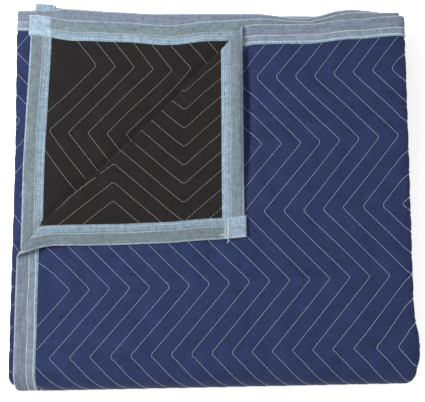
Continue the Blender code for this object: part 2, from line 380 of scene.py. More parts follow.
def pad_height(across, down):
    """The height of a face over the middle of the pad: puffed, and drawn in at its seams."""
    quilting = bpy.context.scene.blanket_quilting
    seam = seam_distance(across, down)
    pressed = quilting.seam_depth * np.exp(-((seam / quilting.seam_width) ** 2))
    crown = quilting.puff * smooth(seam / (0.5 * QUILT_LINE_STEP[0] * SEAM_TILT))
    full = FACE_THICK - pressed + crown
    inside = smooth((edge_distance(across, down) - TAPE_WIDTH) / THINNING)
    return FACE_GAP / 2 + EDGE_FACE_THICK + (full - EDGE_FACE_THICK) * inside


def stations(rows, true_height, spacing, turn_steps):
    """The distances at which the cloth is cut, so that it can be folded."""
    lines, at = [], 0.0
    for row, steps in zip(rows, turn_steps):
        parts = math.ceil(row["length"] / spacing)
        lines += [at + row["length"] * i / parts for i in range(parts + 1)]
        at += row["length"]
        if row["side"]:
            arc = turn_length(row, true_height)
            lines += [at + arc * i / steps for i in range(1, steps)]
            at += arc
    return np.array(lines)


def cut_corner(bm):
    """Cuts the flat cloth along the turned corner's crease and where the flap comes to rest."""
    normal = Vector((CORNER_NORMAL[0], -CORNER_NORMAL[1], 0))
    half_turn = math.pi * CORNER_RADIUS
    pasts = [half_turn * i / CREASE_STEPS for i in range(CREASE_STEPS + 1)]
    pasts += [half_turn + CORNER_FALL * i / FALL_STEPS for i in range(1, FALL_STEPS + 1)]
    reach = CORNER_DEPTH + CUT_PAST_CREASE
    for past in pasts:
        near = [face for face in bm.faces if normal.dot(face.calc_center_median()) < reach]
        edges = {edge for face in near for edge in face.edges}
        corners = {vertex for face in near for vertex in face.verts}
        geometry = near + list(edges) + list(corners)
        point = normal * (CORNER_DEPTH - past)
        bmesh.ops.bisect_plane(bm, geom=geometry, plane_co=point, plane_no=normal)


def points_of(mesh):
    flat = np.empty(len(mesh.vertices) * 3)
    mesh.vertices.foreach_get("co", flat)
    return flat.reshape(-1, 3)


def add_map(mesh, name, values):
    """A UV map from a pair of numbers for each vertex."""
    corners = np.empty(len(mesh.loops), int)
    mesh.loops.foreach_get("vertex_index", corners)
    layer = mesh.uv_layers.new(name=name)
    layer.data.foreach_set("uv", np.stack(values, 1)[corners].ravel())


def lay_folded(mesh, flat):
    mesh.vertices.foreach_set("co", fold(flat).ravel())
    mesh.update()


def finish_piece(name, mesh, node, slot):
    """Puts a finished mesh in the scene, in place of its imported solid."""
    mesh.polygons.foreach_set("use_smooth", [True] * len(mesh.polygons))
    piece = bpy.data.objects.new(name, mesh)
    bpy.context.scene.collection.objects.link(piece)
    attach(piece, "root")
    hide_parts(node)
    return piece


# Shader groups and materials

CLOTH_FINISH = {"roughness": 0.9, "sheen": 0.033}
TAPE_FINISH = {"roughness": 0.8, "sheen": 0.04}
THREAD_FINISH = {"roughness": 0.55, "sheen": 0.07}
FLOOR_FINISH = {"roughness": 0.9, "sheen": 0.0}
FIBRE_DIRECTIONS = (((0.35, 1.0, 1.0), 0.5), ((1.0, 0.35, 1.0), -0.3))  # stretch and turn
MOTTLE = {"patches": 0.9, "fibres": 1.7, "offset": -0.3}
CLOTH_FELT = {"Fibre_scale": 620.0}
TAPE_FELT = {"Fibre_scale": 700.0, "Mottle_scale": 140.0}
PLIES = {"scale": 1400.0, "contrast": 0.5, "darkest": 0.75}
FELT_SPECULAR = 0.08
SHEEN_ROUGHNESS = 0.5
# The groove along each seam is also darkened towards darkest with painted shade
CLOTH_SEAM = {"groove": 0.0022, "darkest": 0.72, "puckered": 0.0065, "rise": 0.6}
CLOTH_PUCKERS = (9.0, 30.0, 1.0)  # in each line step and row
SIDES_BLEND = 0.001
TAPE_STREAKS = {"scale": (25.0, 420.0, 1.0), "contrast": 0.7, "darkest": 0.65}
TAPE_RIBS = {"scale": (520.0, 25.0, 1.0), "contrast": 0.5}
# In from the edge: where the doubled hem starts on each side, the paler stretch that starts at
# the first row of sewing, and the painted highlight where the folded edge catches the light. The
# lap is measured from the strip's end.
TAPE_HEM = {"on_black": 0.0168, "on_blue": 0.0218, "blend": 0.0014}
TAPE_PALER = {"from": 0.0150, "to": 0.0165, "share": 0.45}
TAPE_EDGE_HIGHLIGHT = {"from": 0.0004, "to": 0.0021, "share": 0.85}
TAPE_LAP = {"from": 0.0265, "to": 0.0295, "share": 0.8, "lighter": 0.4}


def new_group(name, kind, inputs, outputs):
    """A node tree with named sockets, what it is given, and what it puts out."""
    tree = bpy.data.node_groups.new(name, kind)
    for socket, socket_type, value in inputs:
        made = tree.interface.new_socket(socket, in_out="INPUT", socket_type=socket_type)
        if value is not None:
            made.default_value = value
    for socket, socket_type in outputs:
        tree.interface.new_socket(socket, in_out="OUTPUT", socket_type=socket_type)
    entry, leave = tree.nodes.new("NodeGroupInput"), tree.nodes.new("NodeGroupOutput")
    return tree, entry.outputs, leave.inputs


def join(tree, socket, value):
    """Links a value's socket, or sets a plain value."""
    if isinstance(value, bpy.types.NodeSocket):
        tree.links.new(value, socket)
    else:
        socket.default_value = value


def maths(tree, operation, first, second=0.0, third=0.0):
    node = tree.nodes.new("ShaderNodeMath")
    node.operation = operation
    for socket, value in zip(node.inputs, (first, second, third)):
        join(tree, socket, value)
    return node.outputs[0]


def noise(tree, vector, scale, detail=2.0, roughness=0.5):
    node = tree.nodes.new("ShaderNodeTexNoise")
    join(tree, node.inputs["Vector"], vector)
    join(tree, node.inputs["Scale"], scale)
    node.inputs["Detail"].default_value = detail
    node.inputs["Roughness"].default_value = roughness
    return node.outputs["Fac"]


def mapped(tree, vector, scale, turn=0.0):
    node = tree.nodes.new("ShaderNodeMapping")
    join(tree, node.inputs["Vector"], vector)
    node.inputs["Scale"].default_value = scale
    node.inputs["Rotation"].default_value = (0, 0, turn)
    return node.outputs["Vector"]


def map_range(tree, value, low, high, to_low=0.0, to_high=1.0):
    node = tree.nodes.new("ShaderNodeMapRange")
    node.interpolation_type = "SMOOTHSTEP"
    for socket, given in zip(node.inputs, (value, low, high, to_low, to_high)):
        join(tree, socket, given)
    return node.outputs[0]


def mix_colour(tree, factor, first, second, blend="MIX"):
    node = tree.nodes.new("ShaderNodeMix")
    node.data_type = "RGBA"
    node.blend_type = blend
    join(tree, node.inputs[0], factor)
    join(tree, node.inputs[6], first)
    join(tree, node.inputs[7], second)
    return node.outputs[2]


def uv(tree, name):
    node = tree.nodes.new("ShaderNodeUVMap")
    node.uv_map = name
    return node.outputs["UV"]


def make_seam_group():
    """The distance, in metres, from the nearest zigzag seam."""
    tree, given, result = new_group(
        "Quilting seams",
        "ShaderNodeTree",
        [("Place", "NodeSocketVector", None)],
        [("Distance", "NodeSocketFloat")],
    )
    split = tree.nodes.new("ShaderNodeSeparateXYZ")
    tree.links.new(given["Place"], split.inputs[0])
    swing = maths(tree, "PINGPONG", split.outputs["Y"], 1.0)
    near = maths(tree, "SQRT", maths(tree, "MULTIPLY_ADD", swing, swing, QUILT_ROUNDING**2))
    rest = maths(tree, "SUBTRACT", 1.0, swing)
    far = maths(tree, "SQRT", maths(tree, "MULTIPLY_ADD", rest, rest, QUILT_ROUNDING**2))
    bent = maths(tree, "SUBTRACT", near, far)
    shift = maths(tree, "MULTIPLY_ADD", bent, 0.5 * QUILT_SWING, 0.5 * QUILT_SWING)
    line = maths(tree, "SUBTRACT", split.outputs["X"], shift)
    nearest = maths(tree, "MAXIMUM", maths(tree, "ROUND", line), QUILT_FIRST)
    off = maths(tree, "SUBTRACT", line, maths(tree, "MINIMUM", nearest, QUILT_LAST))
    width = QUILT_LINE_STEP[0] * SEAM_TILT
    tree.links.new(maths(tree, "MULTIPLY", maths(tree, "ABSOLUTE", off), width), result["Distance"])
    return tree


def make_felt_group():
    """Matted fibres: a fine height, and a light and dark mottle round 1."""
    tree, given, result = new_group(
        "Matted fibres",
        "ShaderNodeTree",
        [
            ("Place", "NodeSocketVector", None),
            ("Fibre scale", "NodeSocketFloat", 900.0),
            ("Mottle scale", "NodeSocketFloat", 45.0),
        ],
        [("Height", "NodeSocketFloat"), ("Mottle", "NodeSocketFloat")],
    )
    place = given["Place"]
    lengthwise, crosswise = (
        noise(tree, mapped(tree, place, stretch, turn), given["Fibre scale"], detail=3.0)
        for stretch, turn in FIBRE_DIRECTIONS
    )
    fibres = maths(tree, "MULTIPLY", maths(tree, "ADD", lengthwise, crosswise), 0.5)
    patches = noise(tree, place, given["Mottle scale"], detail=4.0, roughness=0.6)
    flecks = maths(tree, "MULTIPLY", fibres, MOTTLE["fibres"])
    mottle = maths(tree, "MULTIPLY_ADD", patches, MOTTLE["patches"], flecks)
    tree.links.new(fibres, result["Height"])
    tree.links.new(maths(tree, "ADD", mottle, MOTTLE["offset"]), result["Mottle"])
    return tree


SHADER_GROUPS = {"Quilting seams": make_seam_group, "Matted fibres": make_felt_group}


def use_group(tree, name, **values):
    """Places a shader group, which is built at its first use, with its inputs set."""
    node = tree.nodes.new("ShaderNodeGroup")
    node.node_tree = bpy.data.node_groups.get(name) or SHADER_GROUPS[name]()
    for socket, value in values.items():
        join(tree, node.inputs[socket.replace("_", " ")], value)
    return node.outputs


def start_material(name, roughness, sheen):
    """A matte material, its node tree and its shader's sockets."""
    material = bpy.data.materials.new(name)
    material.use_nodes = True
    tree = material.node_tree
    shader = tree.nodes["Principled BSDF"]
    shader.inputs["Roughness"].default_value = roughness
    shader.inputs["Specular IOR Level"].default_value = FELT_SPECULAR
    shader.inputs["Sheen Weight"].default_value = sheen
    shader.inputs["Sheen Roughness"].default_value = SHEEN_ROUGHNESS
    return material, tree, shader.inputs


def add_bump(tree, height, shader, distance, strength, below=None):
    bump = tree.nodes.new("ShaderNodeBump")
    bump.inputs["Distance"].default_value = distance
    bump.inputs["Strength"].default_value = strength
    join(tree, bump.inputs["Height"], height)
    if below is not None:
        tree.links.new(below, bump.inputs["Normal"])
    tree.links.new(bump.outputs["Normal"], shader["Normal"])
    return bump.outputs["Normal"]


def tinted(tree, colour, brightness):
    """A colour made lighter or darker by a value round 1."""
    grey = tree.nodes.new("ShaderNodeCombineColor")
    for socket in grey.inputs:
        tree.links.new(brightness, socket)
    return mix_colour(tree, 1.0, colour, grey.outputs[0], "MULTIPLY")


def cloth_material(name, colour):
    """A face cloth: matted fibres, drawn in along its seams and darkened there with painted shade.
    """
    material, tree, shader = start_material(name, **CLOTH_FINISH)
    felt = use_group(tree, "Matted fibres", Place=uv(tree, "cloth"), **CLOTH_FELT)
    seam = use_group(tree, "Quilting seams", Place=uv(tree, "quilt"))["Distance"]
    puckers = noise(tree, mapped(tree, uv(tree, "quilt"), CLOTH_PUCKERS), 1.0)
    groove = map_range(tree, seam, 0.0, CLOTH_SEAM["groove"])
    near_seam = map_range(tree, seam, 0.0, CLOTH_SEAM["puckered"], 1.0, 0.0)
    # Painted shade: the colour darkens towards darkest in the groove along each seam
    darkest = CLOTH_SEAM["darkest"]
    light = maths(tree, "MULTIPLY_ADD", groove, 1 - darkest, darkest)
    light = maths(tree, "MULTIPLY", light, felt["Mottle"])
    tree.links.new(tinted(tree, (*colour, 1), light), shader["Base Color"])
    fine = add_bump(tree, felt["Height"], shader, distance=0.0006, strength=0.5)
    ripple = maths(tree, "MULTIPLY", puckers, near_seam)
    height = maths(tree, "MULTIPLY_ADD", groove, CLOTH_SEAM["rise"], ripple)
    add_bump(tree, height, shader, distance=0.0010, strength=0.8, below=fine)
    return material


def tape_material(name, blue_side, black_side):
    """The binding: thin matted tape, doubled along its inner edge and where two strips lap."""
    colours = bpy.context.scene.blanket_colours
    material, tree, shader = start_material(name, **TAPE_FINISH)
    place = uv(tree, "tape")
    split, lap = (tree.nodes.new("ShaderNodeSeparateXYZ") for _ in range(2))
    tree.links.new(place, split.inputs[0])
    tree.links.new(uv(tree, "lap"), lap.inputs[0])
    inward = maths(tree, "ABSOLUTE", split.outputs["Y"])
    felt = use_group(tree, "Matted fibres", Place=place, **TAPE_FELT)
    streaks = noise(tree, mapped(tree, place, TAPE_STREAKS["scale"]), 1.0)
    ribs = noise(tree, mapped(tree, place, TAPE_RIBS["scale"]), 1.0, detail=1.0)
    blue = map_range(tree, split.outputs["Y"], -SIDES_BLEND, SIDES_BLEND)
    side = mix_colour(tree, blue, (*black_side, 1), (*blue_side, 1))
    further = TAPE_HEM["on_blue"] - TAPE_HEM["on_black"]
    hem_from = maths(tree, "MULTIPLY_ADD", blue, further, TAPE_HEM["on_black"])
    hem_to = maths(tree, "ADD", hem_from, TAPE_HEM["blend"])
    start, end, share = TAPE_PALER.values()
    paler = map_range(tree, inward, start, end, 0.0, share)
    hem = maths(tree, "MAXIMUM", map_range(tree, inward, hem_from, hem_to), paler)
    doubled = map_range(tree, lap.outputs["X"], TAPE_LAP["from"], TAPE_LAP["to"], 1.0, 0.0)
    doubled = maths(tree, "MULTIPLY", doubled, TAPE_LAP["share"])
    # Painted highlight: a lighter colour along the folded outer edge, where it catches the light
    start, end, share = TAPE_EDGE_HIGHLIGHT.values()
    edge = map_range(tree, inward, start, end, share, 0.0)
    light_parts = maths(tree, "MAXIMUM", hem, doubled)
    colour = mix_colour(tree, light_parts, side, (*colours.tape_hem, 1))
    colour = mix_colour(tree, edge, colour, (*colours.tape_edge_highlight, 1))
    ribbed = maths(tree, "MULTIPLY", maths(tree, "SUBTRACT", ribs, 0.5), hem)
    light = maths(tree, "MULTIPLY_ADD", streaks, TAPE_STREAKS["contrast"], TAPE_STREAKS["darkest"])
    light = maths(tree, "ADD", light, maths(tree, "MULTIPLY", ribbed, TAPE_RIBS["contrast"]))
    light = maths(tree, "MULTIPLY", light, felt["Mottle"])
    # Each strip's own brightness, from the lap map's second coordinate
    light = maths(tree, "MULTIPLY", light, lap.outputs["Y"])
    lighter = maths(tree, "MULTIPLY_ADD", doubled, TAPE_LAP["lighter"], 1.0)
    light = maths(tree, "MULTIPLY", light, lighter)
    tree.links.new(tinted(tree, colour, light), shader["Base Color"])
    fine = add_bump(tree, felt["Height"], shader, distance=0.0006, strength=0.45)
    woven = maths(tree, "ADD", streaks, ribbed)
    add_bump(tree, woven, shader, distance=0.0007, strength=0.5, below=fine)
    return material


def thread_material(name, colour):
    """Thread, with its plies a little lighter and darker."""
    material, tree, shader = start_material(name, **THREAD_FINISH)
    coordinates = tree.nodes.new("ShaderNodeTexCoord").outputs["Object"]
    plies = noise(tree, coordinates, PLIES["scale"])
    light = maths(tree, "MULTIPLY_ADD", plies, PLIES["contrast"], PLIES["darkest"])
    tree.links.new(tinted(tree, (*colour, 1), light), shader["Base Color"])
    return material


def floor_material(colour):
    material, _, shader = start_material("Pale floor", **FLOOR_FINISH)
    shader["Base Color"].default_value = (*colour, 1)
    return material


# Face cloths


def skin(across, down):
    """A grid of the flat cloth, cut along the turned corner's crease."""
    width, length = len(across), len(down)
    places = np.zeros((width * length, 3))
    places[:, 0] = np.tile(across, length)
    places[:, 1] = -np.repeat(down, width)
    first = (np.arange(length - 1)[:, None] * width + np.arange(width - 1)).ravel()
    quads = np.stack((first, first + width, first + width + 1, first + 1), 1)
    mesh = bpy.data.meshes.new("skin")
    mesh.from_pydata(places.tolist(), [], quads.tolist())
    bm = bmesh.new()
    bm.from_mesh(mesh)
    bpy.data.meshes.remove(mesh)
    cut_corner(bm)
    return bm


def round_the_edge(vertex):
    """How far a vertex on the cloth's cut edge lies along it, from the turned corner."""
    x, y = vertex.co.x, -vertex.co.y
    tiny = 1e-6
    if y < tiny:
        return x
    if x > LENGTH_ACROSS - tiny:
        return LENGTH_ACROSS + y
    if y > LENGTH_DOWN - tiny:
        return 2 * LENGTH_ACROSS + LENGTH_DOWN - x
    return 2 * LENGTH_ACROSS + 2 * LENGTH_DOWN - y


def close_edges(bm, outer, inner):
    """Joins the cut edges of two skins, of which the inner one has fewer vertices."""
    rims = [
        sorted((v for v in skin_vertices if v.is_boundary), key=round_the_edge)
        for skin_vertices in (outer, inner)
    ]
    places = np.array([round_the_edge(v) for v in rims[0]])
    starts = [int(np.argmin(abs(places - round_the_edge(v)))) for v in rims[1]]
    ends = starts[1:] + [len(rims[0])]
    closed = rims[0] + rims[0][:1]
    for index, (start, end) in enumerate(zip(starts, ends)):
        following = rims[1][(index + 1) % len(rims[1])]
        bm.faces.new([following, rims[1][index]] + closed[start : end + 1])


def face_cloth(name, side, fine_across, fine_down, coarse_across, coarse_down, material, slot):
    """One face of the pad: a fine outer skin and a coarse inner one, joined at the cut edges."""
    bm = skin(fine_across, fine_down)
    plain = skin(coarse_across, coarse_down)
    count = len(bm.verts)
    lining = bpy.data.meshes.new("lining")
    plain.to_mesh(lining)
    plain.free()
    bm.from_mesh(lining)
    bpy.data.meshes.remove(lining)
    outer, inner = bm.verts[:count], bm.verts[count:]
    close_edges(bm, outer, inner)
    bm.verts.index_update()
    for vertex in inner:
        vertex.co.z = side * FACE_GAP / 2
    for vertex in outer:
        vertex.co.z = side * FACE_THICK
    bmesh.ops.recalc_face_normals(bm, faces=bm.faces[:])
    mesh = bpy.data.meshes.new(name)
    bm.to_mesh(mesh)
    bm.free()
    flat = points_of(mesh)
    across, down = flat[:, 0], -flat[:, 1]
    flat[:count, 2] = side * pad_height(across[:count], down[:count])
    add_map(mesh, "cloth", (across, down))
    add_map(mesh, "quilt", quilt_place(across, down))
    lay_folded(mesh, flat)
    mesh.materials.append(material)
    return finish_piece(f"{name}_cloth", mesh, name, slot)


def coarse_lines():
    """The lines both ways at which both skins of a face are cut."""
    rim = np.array([TAPE_WIDTH, TAPE_WIDTH + THINNING])
    across = stations(ACROSS, 0.0, COARSE, TURN_STEPS_ACROSS)
    down = stations(DOWN, TRUE_HEIGHT_DOWN, COARSE, TURN_STEPS_DOWN)
    groove = GROOVE["at_x"] + GROOVE_COARSE
    in_panels = (groove, LEFT_TURN_AT - groove, LEFT_TURN_AT + LEFT_TURN + groove)
    across = np.concatenate((across, rim, LENGTH_ACROSS - rim, *in_panels, LENGTH_ACROSS - groove))
    down = np.concatenate((down, rim, LENGTH_DOWN - rim))
    return np.unique(across.round(6)), np.unique(down.round(6))


def finer(lines, stretches):
    """Lines with more of them between, over stretches given as from, to and spacing."""
    more = np.concatenate([np.arange(low, high, gap) for low, high, gap in stretches])
    more = more[(more > lines[0]) & (more < lines[-1])]
    apart = np.abs(more[:, None] - lines).min(1)
    return np.sort(np.concatenate((lines, more[apart > CLOSEST_LINES])))


# Bindings

TAPE_PROFILE = (  # how far in from the edge, and the height over the tape's plain outside
    (0.0270, -0.00040),
    (0.0268, -0.00010),
    (0.0260, 0.00008),
    (0.0248, 0.00004),
    (0.0238, -0.00020),
    (0.0228, 0.00002),
    (0.0212, 0.00010),
    (0.0195, 0.00006),
    (0.0178, 0.00000),
    (0.0165, -0.00004),
    (0.0153, -0.00026),
    (0.0141, -0.00004),
    (0.0115, 0.00008),
    (0.0080, 0.00012),
    (0.0040, 0.00006),
    (0.0012, -0.00014),
    (0.0000, -0.00046),
    (-0.0006, -0.00090),
)
TAPE_NOSE = -0.0009
TAPE_LINING = (0.0268, 0.0004)  # the tape's inside runs between these, in from the edge
TUCKED = 0.0006  # how far a strip stops short where the next one laps over it
ROW_PLACES = (0.0153, 0.0238)  # the two rows of sewing, in from the edge
ROW_WANDER = (
    {"reach": 0.0003, "rate": 31, "shift": 1},
    {"reach": 0.0002, "rate": 83, "shift": 0},
)
ROWS_SUNK = 0.00010
LAP_PAST_EDGE = 0.001
LAP_SLOPE = 0.005
LAP_RISE = 0.75 * TAPE_THICK
TAPE_RIPPLE = {"height": 0.00010, "every": 0.0087, "at": 0.0205, "width": 0.0045}
TAPE_SWAY = {"reach": 3, "rate": 23}
TAPE_WANDER = {"height": 0.00012, "every": 0.043, "at": 0.009, "width": 0.006}


def tape_ring():
    """The closed section of a strip: its outside from face to face, then its inside back."""
    above = [(inward, TAPE_OUTSIDE + lift) for inward, lift in TAPE_PROFILE]
    below = [(inward, -height) for inward, height in above[::-1]]
    hem, fold_line = TAPE_LINING
    lined = [(hem, -TAPE_INSIDE), (fold_line, -TAPE_INSIDE), (fold_line, TAPE_INSIDE)]
    return above + [(TAPE_NOSE, 0.0)] + below + lined + [(hem, TAPE_INSIDE)]


def tape_lift(along, start_over, end_over, start, end):
    """Where a strip's end laps over the next strip, it is raised by most of its thickness."""
    lap = TAPE_WIDTH + LAP_PAST_EDGE
    near_start = 1 - smooth((along - start - lap) / LAP_SLOPE)
    near_end = 1 - smooth((end - along - lap) / LAP_SLOPE)
    return LAP_RISE * np.maximum(near_start * start_over, near_end * end_over)


def tape_puckers(along, inward, phase):
    """The tape ripples between its two rows of sewing, and waves slowly outside them."""
    sway = TAPE_SWAY["reach"] * np.sin(along * TAPE_SWAY["rate"] + phase)
    puckers = np.zeros(len(along))
    for wave, extra in ((TAPE_RIPPLE, sway), (TAPE_WANDER, phase)):
        here = np.exp(-(((inward - wave["at"]) / wave["width"]) ** 2))
        puckers += wave["height"] * np.sin(2 * math.pi * along / wave["every"] + extra) * here
    return puckers


def binding_strips():
    """Each strip: its place on the flat cloth and back from there, its run, which ends lap over,
    how much lighter or darker the whole strip is made, and its fine stretches."""
    across, down = LENGTH_ACROSS, LENGTH_DOWN
    start, tucked = -TAPE_OVERRUN, TUCKED
    front = PANEL_DOWN + FRONT_TURN
    return {
        "binding_left": {
            "at": lambda inward, along: (inward, along),
            "from": lambda x, y: (x, y),
            "run": (start, down - tucked),
            "over": (1, 0),
            "shade": 0.88,
            "fine": ((start, UNDERSIDE_END),),
        },
        "binding_back": {
            "at": lambda inward, along: (along, inward),
            "from": lambda x, y: (y, x),
            "run": (tucked, across - start),
            "over": (0, 1),
            "shade": 1.07,
            "fine": (
                (0.0, PANEL_ACROSS + RIGHT_TURN),
                (LEFT_TURN_AT - 0.03, LEFT_TURN_AT + LEFT_TURN + 0.06),
                (across - 0.7 * PANEL_ACROSS, across - start),
            ),
        },
        "binding_right": {
            "at": lambda inward, along: (across - inward, along),
            "from": lambda x, y: (across - x, y),
            "run": (tucked, down - start),
            "over": (0, 1),
            "shade": 0.95,
            "fine": ((0.0, 0.32), (front, front + 0.05), (down - 0.06, down - start)),
        },
        "binding_front": {
            "at": lambda inward, along: (along, down - inward),
            "from": lambda x, y: (down - y, x),
            "run": (start, across - tucked),
            "over": (1, 0),
            "shade": 1.0,
            "fine": ((start, 0.05), (LEFT_TURN_AT - 0.02, LEFT_TURN_AT + 0.04)),
        },
    }


def runs_down(strip):
    return strip["at"](0.0, 1.0)[1] == 1.0


def strip_stations(strip):
    """A strip is cut at every crease it crosses, and finely where it shows."""
    if runs_down(strip):
        lines = stations(DOWN, TRUE_HEIGHT_DOWN, TAPE_COARSE, TURN_STEPS_DOWN)
    else:
        lines = stations(ACROSS, 0.0, TAPE_COARSE, TURN_STEPS_ACROSS)
    for low, high in strip["fine"]:
        lines = np.append(lines, np.arange(low, high, TAPE_FINE))
    start, end = strip["run"]
    lines = np.unique(np.append(lines[(lines > start) & (lines < end)], (start, end)).round(5))
    return lines[np.append(True, np.diff(lines) > CLOSEST_TAPE_LINES)]


def binding(name, strip, material):
    """One strip of tape, folded over the cut edge, with its lap and its puckers."""
    start, end = strip["run"]
    along = strip_stations(strip)
    ring = np.array(tape_ring())
    count, size = len(along), len(ring)
    inward = np.tile(ring[:, 0], count)
    height = np.tile(ring[:, 1], count)
    far = np.repeat(along, size)
    outside = abs(height) > TAPE_INSIDE
    lift = tape_lift(far, *strip["over"], start, end)
    lift = lift + tape_puckers(far, inward, len(name)) * outside
    height = height + np.sign(height) * lift
    x, y = strip["at"](inward, far)
    places = np.stack((x, -y, height), 1)
    first = (np.arange(count - 1)[:, None] * size + np.arange(size)).ravel()
    after = (np.arange(count - 1)[:, None] * size + (np.arange(size) + 1) % size).ravel()
    quads = np.stack((first, after, after + size, first + size), 1).tolist()
    ends = [list(range(size)), [(count - 1) * size + i for i in range(size)][::-1]]
    mesh = bpy.data.meshes.new(name)
    mesh.from_pydata(places.tolist(), [], quads + ends)
    bm = bmesh.new()
    bm.from_mesh(mesh)
    cut_corner(bm)
    bmesh.ops.recalc_face_normals(bm, faces=bm.faces[:])
    bm.to_mesh(mesh)
    bm.free()
    flat = points_of(mesh)
    inward, far = strip["from"](flat[:, 0], -flat[:, 1])
    side = np.where(flat[:, 2] < 0, -1.0, 1.0)
    add_map(mesh, "tape", (far, np.maximum(inward, 0.0) * side))
    from_lap = far - start if strip["over"][0] else end - far
    add_map(mesh, "lap", (from_lap, np.full(len(far), strip["shade"])))
    lay_folded(mesh, flat)
    mesh.materials.append(material)
    return finish_piece(f"{name}_tape", mesh, name, "grey_tape")


# Sewing


def make_stitch_tree():
    """Stitches laid end to end along every line of a mesh of edges."""
    tree, given, result = new_group(
        "Rows of stitches",
        "GeometryNodeTree",
        [
            ("Geometry", "NodeSocketGeometry", None),
            ("Stitch length", "NodeSocketFloat", 0.004),
            ("Stitch share", "NodeSocketFloat", 0.9),
            ("Thread radius", "NodeSocketFloat", 0.0004),
            ("Length spread", "NodeSocketFloat", 0.1),
            ("Seed", "NodeSocketInt", 5),
            ("Thread", "NodeSocketMaterial", None),
        ],
        [("Geometry", "NodeSocketGeometry")],
    )

    def node(kind, inputs, **settings):
        made = tree.nodes.new(kind)
        for key, value in settings.items():
            setattr(made, key, value)
        for socket, value in inputs.items():
            join(tree, made.inputs[socket], value)
        return made.outputs

    curve = node("GeometryNodeMeshToCurve", {"Mesh": given["Geometry"]})
    spacing = {"Curve": curve[0], "Length": given["Stitch length"]}
    spaced = node("GeometryNodeResampleCurve", spacing, mode="LENGTH")
    stitch = node("GeometryNodeMeshUVSphere", {"Segments": 5, "Rings": 4, "Radius": 1.0})
    lengthwise = {"Geometry": stitch["Mesh"], "Rotation": (0, math.pi / 2, 0)}
    lying = node("GeometryNodeTransform", lengthwise)
    tangent = node("GeometryNodeInputTangent", {})
    turned = node("FunctionNodeAlignRotationToVector", {"Vector": tangent[0]}, axis="X")
    half = maths(tree, "MULTIPLY", given["Stitch length"], 0.5)
    half = maths(tree, "MULTIPLY", half, given["Stitch share"])
    shortest = maths(tree, "SUBTRACT", 1.0, given["Length spread"])
    shares = {2: shortest, 3: 1.0, "Seed": given["Seed"]}
    spread = node("FunctionNodeRandomValue", shares, data_type="FLOAT")
    reach = maths(tree, "MULTIPLY", half, spread[1])
    thread = given["Thread radius"]
    size = node("ShaderNodeCombineXYZ", {"X": reach, "Y": thread, "Z": thread})
    places = {"Points": spaced[0], "Instance": lying[0], "Rotation": turned[0], "Scale": size[0]}
    placed = node("GeometryNodeInstanceOnPoints", places)
    solid = node("GeometryNodeRealizeInstances", {"Geometry": placed[0]})
    shaded = node("GeometryNodeSetShadeSmooth", {"Geometry": solid[0]})
    dye = {"Geometry": shaded[0], "Material": given["Thread"]}
    dyed = node("GeometryNodeSetMaterial", dye)
    tree.links.new(dyed[0], result[0])
    return tree


def set_inputs(modifier, values):
    """Sets a modifier's inputs by their sockets' identifiers."""
    for socket in modifier.node_group.interface.items_tree:
        if socket.item_type == "SOCKET" and socket.in_out == "INPUT" and socket.name in values:
            modifier[socket.identifier] = values[socket.name]


def stitch_inputs(settings, thread):
    """The stitch tree's inputs for one of the property groups and a thread's material."""
    return {
        "Stitch length": settings.stitch_length,
        "Stitch share": settings.stitch_share,
        "Thread radius": settings.thread_radius,
        "Thread": thread,
    }


def evaluated_mesh(holder):
    """The plain mesh of an object as its modifier or its bevel makes it; the object goes."""
    bpy.context.scene.collection.objects.link(holder)
    bpy.context.view_layer.update()
    seen = holder.evaluated_get(bpy.context.evaluated_depsgraph_get())
    mesh = bpy.data.meshes.new_from_object(seen)
    bpy.data.objects.remove(holder)
    return mesh


def sew(name, lines, heights, stitch, node, slot):
    """Stitches along flat lines, raised to the cloth's surface and folded with it.

    lines are arrays of points on the flat cloth, and heights gives a surface's height there.
    """
    points = np.concatenate(lines)
    starts = set(np.cumsum([len(line) for line in lines]).tolist())
    edges = [(i, i + 1) for i in range(len(points) - 1) if i + 1 not in starts]
    guide = bpy.data.meshes.new("guide")
    places = np.stack((points[:, 0], -points[:, 1], np.zeros(len(points))), 1)
    guide.from_pydata(places.tolist(), edges, [])
    holder = bpy.data.objects.new("guide", guide)
    modifier = holder.modifiers.new("Stitches", "NODES")
    modifier.node_group = bpy.data.node_groups.get("Rows of stitches") or make_stitch_tree()
    set_inputs(modifier, stitch)
    mesh = evaluated_mesh(holder)
    mesh.name = name
    flat = points_of(mesh)
    flat[:, 2] = heights(flat[:, 0], -flat[:, 1], flat[:, 2])
    lay_folded(mesh, flat)
    return finish_piece(name, mesh, node, slot)


def quilting_lines(low, high, keep):
    """The zigzag lines inside a rectangle of the flat cloth, cut where keep(points) is false."""
    corners = np.array([(x, y) for x in (low[0], high[0]) for y in (low[1], high[1])])
    line, row = quilt_place(corners[:, 0], corners[:, 1])
    rows = np.arange(math.floor(row.min()), math.ceil(row.max()) + 1e-9, 1 / QUILT_POINTS)
    made = []
    first = max(QUILT_FIRST, math.floor(line.min() - QUILT_SWING))
    last = min(QUILT_LAST, math.ceil(line.max()))
    for number in range(first, last + 1):
        places = QUILT_START + (number + zigzag(rows))[:, None] * QUILT_LINE_STEP
        places = places + rows[:, None] * QUILT_ROW_STEP
        for _ in range(4):  # closes in on the slipped places
            off_line, off_row = quilt_place(places[:, 0], places[:, 1])
            places = places - (off_line - number - zigzag(rows))[:, None] * QUILT_LINE_STEP
            places = places - (off_row - rows)[:, None] * QUILT_ROW_STEP
        inside = (places >= low).all(1) & (places <= high).all(1) & keep(places)
        breaks = np.flatnonzero(np.diff(np.concatenate(([False], inside, [False])).astype(int)))
        for start, end in zip(breaks[::2], breaks[1::2]):
            if end - start > SHORTEST_LINE:
                made.append(places[start:end])
    return made


def in_field(places):
    """Which points of the flat cloth lie inside the binding."""
    return edge_distance(places[:, 0], places[:, 1]) > TAPE_WIDTH + CLEAR_OF_TAPE


def on_flap(places):
    """Which points inside the binding lie on the turned corner, or just before its crease."""
    past = CORNER_DEPTH - places @ CORNER_NORMAL
    return in_field(places) & (past > -SEWN_BEFORE_CREASE)


